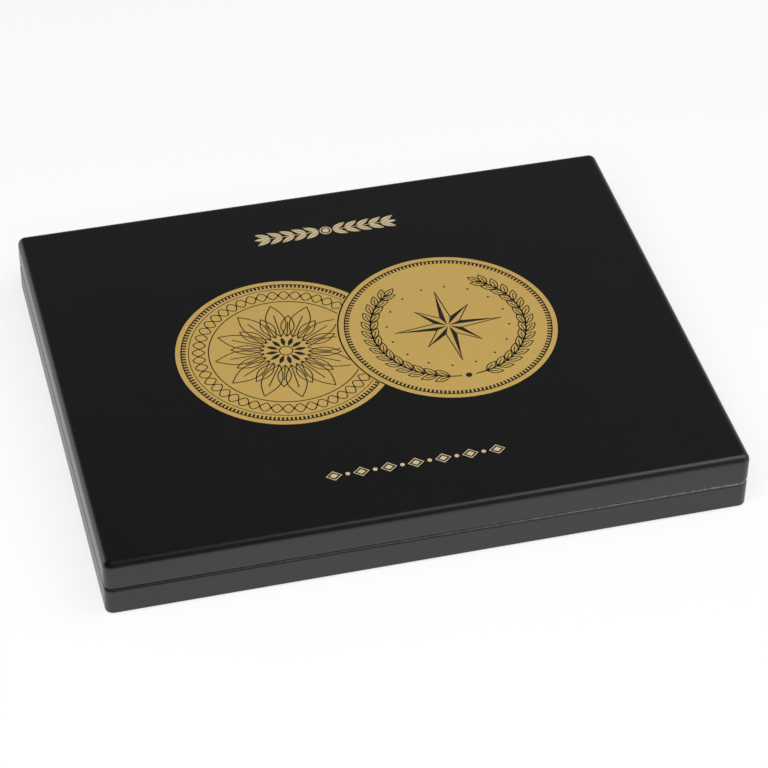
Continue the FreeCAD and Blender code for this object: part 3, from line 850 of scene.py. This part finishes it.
class Print:
    """Flat shapes of a print, all of one height, drawn about a centre."""

    def __init__(self, centre, low, high, kept=everywhere):
        """Start an empty print between two levels, to be drawn where a test keeps it."""
        self.form = bmesh.new()
        self.centre, self.low, self.high, self.kept = centre, low, high, kept

    def vertex(self, point, level):
        """A vertex at a place of the drawing."""
        return self.form.verts.new((self.centre[0] + point[0], self.centre[1] + point[1], level))

    def shape(self, points):
        """A filled outline, left out unless all of it is kept."""
        if not all(self.kept(*point) for point in points):
            return
        rings = [[self.vertex(point, level) for point in points] for level in (self.low, self.high)]
        bridge(self.form, rings)
        for ring in rings:
            self.form.faces.new(ring)

    def disc(self, x, y, radius, steps=24):
        """A filled circle."""
        self.shape([(x + across, y + back) for across, back in circle(radius, steps)])

    def dots(self, number, reach, radius):
        """A ring of small filled circles about the centre."""
        for index in range(number):
            self.disc(*polar(reach, math.tau * (index + 0.5) / number), radius, steps=12)

    def line(self, points, width, closed=False):
        """A line of even width, left out where the print isn't kept."""
        runs, run = [], []
        whole = all(self.kept(*point) for point in points)
        for point in points:
            if self.kept(*point):
                run.append(point)
            elif run:
                runs.append(run)
                run = []
        if run:
            runs.append(run)
        for part in runs:
            if len(part) > 1:
                self.band(part, width, closed and whole)

    def band(self, points, width, closed):
        """One unbroken line."""
        last = len(points) - 1
        sections = []
        for index, point in enumerate(points):
            before = points[index - 1] if index or closed else point
            after = points[(index + 1) % len(points)] if index < last or closed else point
            along = Vector((after[0] - before[0], after[1] - before[1])).normalized() * width / 2
            left = (point[0] - along.y, point[1] + along.x)
            right = (point[0] + along.y, point[1] - along.x)
            sections.append([self.vertex(left, self.low), self.vertex(right, self.low),
                             self.vertex(right, self.high), self.vertex(left, self.high)])
        if closed:
            sections.append(sections[0])
        bridge(self.form, sections)
        if not closed:
            self.form.faces.new(sections[0])
            self.form.faces.new(sections[-1])

    def ring(self, radius, width, steps=256):
        """A circle about the centre, drawn as a line."""
        self.line(circle(radius, steps), width, closed=True)

    def leaf(self, x, y, turn, size, bulge, steps=10):
        """A filled pointed leaf that grows from a point."""
        points = leaf_edge(size, bulge, steps)
        points += [(px, -py) for px, py in points[-2:0:-1]]
        self.shape([turned(px, py, turn, x, y) for px, py in points])

    def leaf_line(self, x, y, turn, size, bulge, width, midrib=0.7, steps=14):
        """The outline and midrib of a pointed leaf that grows from a point."""
        upper = leaf_edge(size, bulge, steps)
        lower = [(px, -py) for px, py in upper[::-1]]
        for points in (upper, lower, [(0, 0), (size * midrib, 0)]):
            self.line([turned(px, py, turn, x, y) for px, py in points], width)


def draw_rim(drawing, radius, foil):
    """The fine circle and the row of teeth inside it that both roundels have."""
    inner, outer, tooth_share = radius * 0.906, radius * 0.948, 0.27
    half_tooth = math.tau / foil.teeth * tooth_share
    for index in range(foil.teeth):
        turn = math.tau * index / foil.teeth
        drawing.shape([polar(inner, turn - half_tooth), polar(outer, turn - half_tooth),
                       polar(outer, turn + half_tooth), polar(inner, turn + half_tooth)])
    drawing.ring(outer, foil.line)


def draw_wreath(drawing, radius, foil):
    """Two laurel branches that rise from a bead at the foot of the drawing."""
    branch, leaf, end_leaf, bulge = radius * 0.71, radius * 0.155, radius * 0.15, 0.2
    foot, tip, stem_steps, stem_width = 0.09, 2.42, 60, foil.line * 1.3
    pairs, first, step, lean = 14, 0.24, 0.162, 0.5
    bead = radius * 0.03
    down = -math.pi / 2
    for side in (1, -1):
        stem = [polar(branch, down + side * turn) for turn in spaced(foot, tip, stem_steps)]
        drawing.line(stem, stem_width)
        for index in range(pairs):
            turn = down + side * (first + step * index)
            along = turn + side * math.pi / 2
            for sway in (lean, -lean):
                drawing.leaf_line(*polar(branch, turn), along + sway, leaf, bulge, foil.line)
        drawing.leaf_line(*stem[-1], down + side * (tip + math.pi / 2), end_leaf, bulge, foil.line)
    drawing.disc(0, -branch, bead)


def draw_star(drawing, radius, foil):
    """An eight-pointed star with one dark half to each point, in a laurel wreath."""
    points, reaches = 8, (radius * 0.5, radius * 0.36)
    waist, core, core_turn = radius * 0.13, radius * 0.012, 0.4
    dot_ring, dot = radius * 0.56, radius * 0.011
    half_step = math.pi / points
    for index in range(points):
        turn = math.tau * index / points + math.pi / 2
        reach = reaches[index % 2]
        drawing.shape([polar(core, turn + core_turn), polar(reach, turn), polar(waist, turn + half_step)])
        drawing.line([polar(reach, turn), polar(waist, turn - half_step)], foil.line)
    draw_wreath(drawing, radius, foil)
    drawing.dots(2 * points, dot_ring, dot)


def draw_rosette(drawing, radius, foil):
    """A rosette of petals inside a band of crossing waves."""
    waves, wave_steps, band, swing, dot = 24, 720, 0.79, 0.055, radius * 0.012
    inner, outer, outer_line = radius * 0.7, radius * 0.88, foil.line * 0.7
    petals, root, bulge = 12, radius * 0.2, 0.2
    long_petal, short_petal = radius * 0.45, radius * 0.3
    heart, heart_root, heart_leaf, heart_bulge = radius * 0.06, radius * 0.07, radius * 0.12, 0.17
    for start in (0, math.pi):
        wave = [polar(radius * (band + swing * math.sin(waves * turn + start)), turn)
                for turn in spaced(0, math.tau, wave_steps)[:-1]]
        drawing.line(wave, foil.line, closed=True)
    drawing.ring(inner, foil.line)
    drawing.ring(outer, outer_line)
    drawing.dots(waves, radius * band, dot)
    for size, offset in ((long_petal, 0), (short_petal, 0.5)):
        for index in range(petals):
            turn = math.tau * (index + offset) / petals
            drawing.leaf_line(*polar(root, turn), turn, size, bulge, foil.line)
    for index in range(petals):
        turn = math.tau * index / petals
        drawing.leaf(*polar(heart_root, turn), turn, heart_leaf, heart_bulge)
    drawing.ring(heart, foil.line, steps=48)


def build_roundels(foil):
    """Two gold roundels with dark line work, the right one in front of the left."""
    low, high = corners_of("gold_roundel_right")
    radius = (high.x - low.x) / 2
    front = ((low.x + high.x) / 2, (low.y + high.y) / 2)
    behind = (corners_of("gold_roundel_left")[0].x + radius, front[1])
    apart = front[0] - behind[0]
    edge = radius + foil.gap
    base, top, lines = low.z, low.z + foil.foil, low.z + foil.relief

    def clear(x, y):
        """Whether a place of the left roundel lies outside the right one and its bare line."""
        return math.hypot(x - apart, y) > edge

    disc = Print(front, base, top)
    disc.disc(0, 0, radius, steps=256)
    finished_piece("roundel_right", disc.form, foil_gold, "lid", "gold_foil", "gold_roundel_right")
    crescent = Print(behind, base, top)
    outer = math.acos((radius ** 2 + apart ** 2 - edge ** 2) / (2 * radius * apart))
    inner = math.acos((edge ** 2 + apart ** 2 - radius ** 2) / (2 * edge * apart))
    points = [polar(radius, turn) for turn in spaced(outer, math.tau - outer, 200)]
    points += [(apart - edge * math.cos(turn), -edge * math.sin(turn))
               for turn in spaced(inner, -inner, 120)[1:-1]]
    crescent.shape(points)
    finished_piece("roundel_left", crescent.form, foil_gold, "lid", "gold_foil", "gold_roundel_left")
    for side, centre, draw, kept in (("right", front, draw_star, everywhere),
                                     ("left", behind, draw_rosette, clear)):
        drawing = Print(centre, base + foil.foil / 2, lines, kept)
        draw_rim(drawing, radius, foil)
        draw(drawing, radius, foil)
        finished_piece(f"roundel_{side}_lines", drawing.form, bare_line, "lid", "black_lacquer")


def half_leaf(pitch, midrib):
    """Outline of one half of a garland leaf, beside its midrib, widest towards its root."""
    size, swell, skew, steps = pitch * 1.3, pitch * 0.21, 0.8, 12
    rib_start, rib_end = pitch * 0.05, pitch * 1.24
    points = [(size * part, swell * math.sin(math.pi * part ** skew) + midrib)
              for part in spaced(0, 1, steps)]
    return points + [(rib_end, midrib), (rib_start, midrib)]


def build_garland(foil):
    """The leaf garland at the rear of the lid, each leaf split by its midrib."""
    low, high = corners_of("gold_garland")
    middle = (low + high) / 2
    reach, rise = (high.x - low.x) / 2, (high.y - low.y) / 2
    boss, ring, ring_width = rise * 0.38, rise * 0.62, rise * 0.13
    stem_start, stem_width = rise * 0.8, rise * 0.08
    first_root, root_rise, tilt = rise * 0.85, rise * 0.1, 0.52
    pitch = (reach - rise * 0.75) / (foil.leaf_pairs + 0.35)
    end_leaf, end_bulge = pitch * 0.9, 0.17
    outline = half_leaf(pitch, foil.line * 0.28)
    drawing = Print((middle.x, middle.y), low.z, high.z)
    drawing.disc(0, 0, boss, steps=32)
    drawing.ring(ring, ring_width, steps=64)
    for side in (1, -1):
        stem_end = side * (reach - end_leaf)
        drawing.line([(side * stem_start, 0), (stem_end, 0)], stem_width)
        for index in range(foil.leaf_pairs):
            root = first_root + pitch * index
            for lean in (1, -1):
                for half in (1, -1):
                    leaf = [turned(x, half * y, lean * tilt, root, lean * root_rise) for x, y in outline]
                    drawing.shape([(side * x, y) for x, y in leaf])
        drawing.leaf(stem_end, 0, 0 if side > 0 else math.pi, end_leaf, end_bulge)
    finished_piece("garland", drawing.form, pale_gold, "lid", "gold_foil", "gold_garland")


def build_beading(foil):
    """The lozenge row at the front of the lid, with a bead between each two lozenges."""
    low, high = corners_of("gold_beading")
    middle = (low + high) / 2
    rise = (high.y - low.y) / 2
    half, bead = rise * 1.235, rise * 0.32
    frame_share, frame_width, core_share = 0.86, rise * 0.17, 0.48
    pitch = (high.x - low.x - 2 * half) / (foil.lozenges - 1)
    drawing = Print((middle.x, middle.y), low.z, high.z)
    for index in range(foil.lozenges):
        x = pitch * (index - (foil.lozenges - 1) / 2)
        outlines = [[(x + half * size, 0), (x, rise * size), (x - half * size, 0), (x, -rise * size)]
                    for size in (frame_share, core_share)]
        drawing.line(outlines[0], frame_width, closed=True)
        drawing.shape(outlines[1])
        if index:
            drawing.disc(x - pitch / 2, 0, bead)
    finished_piece("beading", drawing.form, pale_gold, "lid", "gold_foil", "gold_beading")


# Stage

def sight_line(azimuth, elevation):
    """The direction from the case towards a place round it."""
    return Vector((math.sin(azimuth) * math.cos(elevation), -math.cos(azimuth) * math.cos(elevation),
                   math.sin(elevation)))


def looking_from(target, back, distance, roll=0.0):
    """The matrix of a camera or light that looks back along a direction at a target."""
    level = Vector((0, 0, 1)).cross(back).normalized()
    upright = back.cross(level)
    right = level * math.cos(roll) + upright * math.sin(roll)
    up = upright * math.cos(roll) - level * math.sin(roll)
    matrix = Matrix((right, up, back)).transposed().to_4x4()
    matrix.translation = target + back * distance
    return matrix


def floor_finish(stage):
    """Pale matt floor that shows near white and still takes a shadow."""
    material = bpy.data.materials.new("floor")
    material.use_nodes = True
    tree = material.node_tree
    tree.nodes.clear()
    rays = add_node(tree, "LightPath", {}).outputs
    seen = add_node(tree, "Math", {0: rays["Is Camera Ray"], 1: rays["Is Glossy Ray"]}, "MAXIMUM")
    weight = add_node(tree, "Math", {0: seen.outputs["Value"], 1: stage.floor_glow}, "MULTIPLY")
    matt = add_node(tree, "BsdfDiffuse", {"Color": FLOOR_COLOUR})
    glow = add_node(tree, "Emission", {})
    mix = add_node(tree, "MixShader", {"Fac": weight.outputs["Value"], 1: matt.outputs["BSDF"],
                                       2: glow.outputs["Emission"]})
    add_node(tree, "OutputMaterial", {"Surface": mix.outputs["Shader"]})
    return material


def build_floor(stage):
    """A plain pale floor."""
    form = bmesh.new()
    bmesh.ops.create_grid(form, x_segments=1, y_segments=1, size=stage.floor_size)
    floor = new_object("floor", to_mesh("floor", form))
    floor.data.materials.append(floor_finish(stage))


def build_world(stage):
    """A dim room, lighter to the right, low behind and in one patch. The camera sees it as white."""
    world = bpy.data.worlds.new("studio")
    bpy.context.scene.world = world
    world.use_nodes = True
    tree = world.node_tree
    tree.nodes.clear()
    toward = add_node(tree, "TexCoord", {}).outputs["Generated"]
    parts = add_node(tree, "SeparateXYZ", {"Vector": toward}).outputs
    # Stops lie along a direction's part to the rear, upwards, to the right or towards the patch
    behind = grey_ramp(tree, parts["Y"], ((0.3, 0), (0.6, 1)))
    fading = grey_ramp(tree, parts["Z"], ((0.45, stage.rear), (0.6, stage.rear / 2),
                                          (0.7, stage.rear / 5), (1.0, stage.room)))
    ahead = grey_ramp(tree, parts["X"], ((0.14, stage.room), (0.55, stage.right)))
    shade = add_node(tree, "MixRGB", {"Fac": behind, "Color1": ahead, "Color2": fading})
    patch_line = sight_line(stage.patch_azimuth, stage.patch_elevation)
    near = add_node(tree, "VectorMath", {0: toward, 1: patch_line}, "DOT_PRODUCT")
    in_patch = grey_ramp(tree, near.outputs["Value"], ((0.94, 0), (0.98, 1)))
    patched = add_node(tree, "MixRGB", {"Fac": in_patch, "Color1": shade.outputs["Color"],
                                        "Color2": (stage.patch, stage.patch, stage.patch, 1)})
    room = add_node(tree, "Background", {"Color": patched.outputs["Color"]})
    white = add_node(tree, "Background", {"Color": (1, 1, 1, 1)})
    rays = add_node(tree, "LightPath", {})
    mix = add_node(tree, "MixShader", {"Fac": rays.outputs["Is Camera Ray"], 1: room.outputs["Background"],
                                       2: white.outputs["Background"]})
    add_node(tree, "OutputWorld", {"Surface": mix.outputs["Shader"]})


def build_light(name, target, back, distance, size, watts):
    """One large square light, aimed at the case."""
    data = bpy.data.lights.new(name, "AREA")
    data.shape = "SQUARE"
    data.size = size
    data.energy = watts
    light = new_object(name, data)
    light.matrix_world = looking_from(target, back, distance)
    light.visible_camera = False
    return light


def build_lights(stage):
    """The softbox, and a wide fill light that no gloss shows."""
    target = Vector(stage.target)
    build_light("softbox", target, sight_line(stage.key_azimuth, stage.key_elevation),
                stage.key_distance, stage.key_size, stage.key_power)
    fill = build_light("fill", target, sight_line(stage.fill_azimuth, stage.fill_elevation),
                       stage.fill_distance, stage.fill_size, stage.fill_power)
    fill.visible_glossy = False


def build_camera(stage):
    """The camera of the photograph."""
    data = bpy.data.cameras.new("photo_camera")
    data.lens = stage.lens
    data.sensor_width = SENSOR_WIDTH
    camera = new_object("photo_camera", data)
    back = sight_line(stage.azimuth, stage.elevation)
    camera.matrix_world = looking_from(Vector(stage.target), back, stage.distance, stage.roll)
    scene = bpy.context.scene
    scene.camera = camera
    scene.view_settings.view_transform = "Standard"


# Operators

class COINCASE_OT_lid(bpy.types.Operator):
    """Build the seamless lacquered lid"""
    bl_idname = "coin_case.lid"
    bl_label = "Lid"
    bl_options = {"REGISTER", "UNDO"}

    def execute(self, context):
        """Build the lid."""
        build_shell("lid", context.scene.coin_case.shell)
        return {"FINISHED"}


class COINCASE_OT_base(bpy.types.Operator):
    """Build the seamless lacquered base and the felt under it"""
    bl_idname = "coin_case.base"
    bl_label = "Base"
    bl_options = {"REGISTER", "UNDO"}

    def execute(self, context):
        """Build the base and its felt."""
        build_shell("base", context.scene.coin_case.shell)
        build_felt(context.scene.coin_case.shell)
        return {"FINISHED"}


class COINCASE_OT_tray(bpy.types.Operator):
    """Build the flocked tray"""
    bl_idname = "coin_case.tray"
    bl_label = "Tray"
    bl_options = {"REGISTER", "UNDO"}

    def execute(self, context):
        """Build the tray."""
        build_tray(context.scene.coin_case.tray)
        return {"FINISHED"}


class COINCASE_OT_lining(bpy.types.Operator):
    """Build the padded satin lining and finish the card that carries it"""
    bl_idname = "coin_case.lining"
    bl_label = "Lining"
    bl_options = {"REGISTER", "UNDO"}

    def execute(self, context):
        """Build the lining."""
        build_lining(context.scene.coin_case.lining)
        dress_node("lid_lining_card", card, 0)
        return {"FINISHED"}


class COINCASE_OT_roundels(bpy.types.Operator):
    """Build the two gold roundels"""
    bl_idname = "coin_case.roundels"
    bl_label = "Roundels"
    bl_options = {"REGISTER", "UNDO"}

    def execute(self, context):
        """Build the roundels."""
        build_roundels(context.scene.coin_case.foil)
        return {"FINISHED"}


class COINCASE_OT_ornaments(bpy.types.Operator):
    """Build the gold garland and the gold lozenge row"""
    bl_idname = "coin_case.ornaments"
    bl_label = "Ornaments"
    bl_options = {"REGISTER", "UNDO"}

    def execute(self, context):
        """Build the garland and the lozenge row."""
        build_garland(context.scene.coin_case.foil)
        build_beading(context.scene.coin_case.foil)
        return {"FINISHED"}


class COINCASE_OT_fittings(bpy.types.Operator):
    """Finish the hinges, pins, screws and magnets"""
    bl_idname = "coin_case.fittings"
    bl_label = "Fittings"
    bl_options = {"REGISTER", "UNDO"}

    def execute(self, context):
        """Finish the fittings."""
        for side in SIDES:
            for part in ("base", "lid"):
                dress_node(f"{side}_hinge_{part}_leaf", brass, LEAF_EDGE)
                dress_node(f"{side}_hinge_{part}_screws", brass, SCREW_EDGE)
                dress_node(f"{part}_{side}_magnet", nickel, MAGNET_EDGE)
            dress_node(f"{side}_hinge_pin", brass, 0)
        return {"FINISHED"}


class COINCASE_OT_stage(bpy.types.Operator):
    """Set up the floor, the light, the surroundings and the camera"""
    bl_idname = "coin_case.stage"
    bl_label = "Stage"
    bl_options = {"REGISTER", "UNDO"}

    def execute(self, context):
        """Build the stage."""
        stage = context.scene.coin_case.stage
        build_floor(stage)
        build_world(stage)
        build_lights(stage)
        build_camera(stage)
        return {"FINISHED"}


STEPS = (COINCASE_OT_lid, COINCASE_OT_base, COINCASE_OT_tray, COINCASE_OT_lining, COINCASE_OT_roundels,
         COINCASE_OT_ornaments, COINCASE_OT_fittings, COINCASE_OT_stage)


class COINCASE_PT_panel(bpy.types.Panel):
    """Steps and settings of the coin case"""
    bl_idname = "COINCASE_PT_panel"
    bl_label = "Coin case"
    bl_space_type = "VIEW_3D"
    bl_region_type = "UI"
    bl_category = "Coin case"

    def draw(self, context):
        """Show the steps, then the settings of each group."""
        for step in STEPS:
            self.layout.operator(step.bl_idname)
        settings = context.scene.coin_case
        for group in (settings.shell, settings.tray, settings.lining, settings.foil, settings.stage):
            column = self.layout.box().column()
            for name in group.__annotations__:
                column.prop(group, name)


GROUPS = (ShellSettings, TraySettings, LiningSettings, FoilSettings, StageSettings, CoinCaseSettings)


def register():
    """Add the settings, steps and panel to Blender."""
    for item in (*GROUPS, *STEPS, COINCASE_PT_panel):
        bpy.utils.register_class(item)
    bpy.types.Scene.coin_case = PointerProperty(type=CoinCaseSettings)


def unregister():
    """Take them out again."""
    del bpy.types.Scene.coin_case
    for item in reversed((*GROUPS, *STEPS, COINCASE_PT_panel)):
        bpy.utils.unregister_class(item)


def main():
    """Run every step in order."""
    register()
    bpy.ops.coin_case.lid()
    bpy.ops.coin_case.base()
    bpy.ops.coin_case.tray()
    bpy.ops.coin_case.lining()
    bpy.ops.coin_case.roundels()
    bpy.ops.coin_case.ornaments()
    bpy.ops.coin_case.fittings()
    bpy.ops.coin_case.stage()


if __name__ == "__main__":
    main()
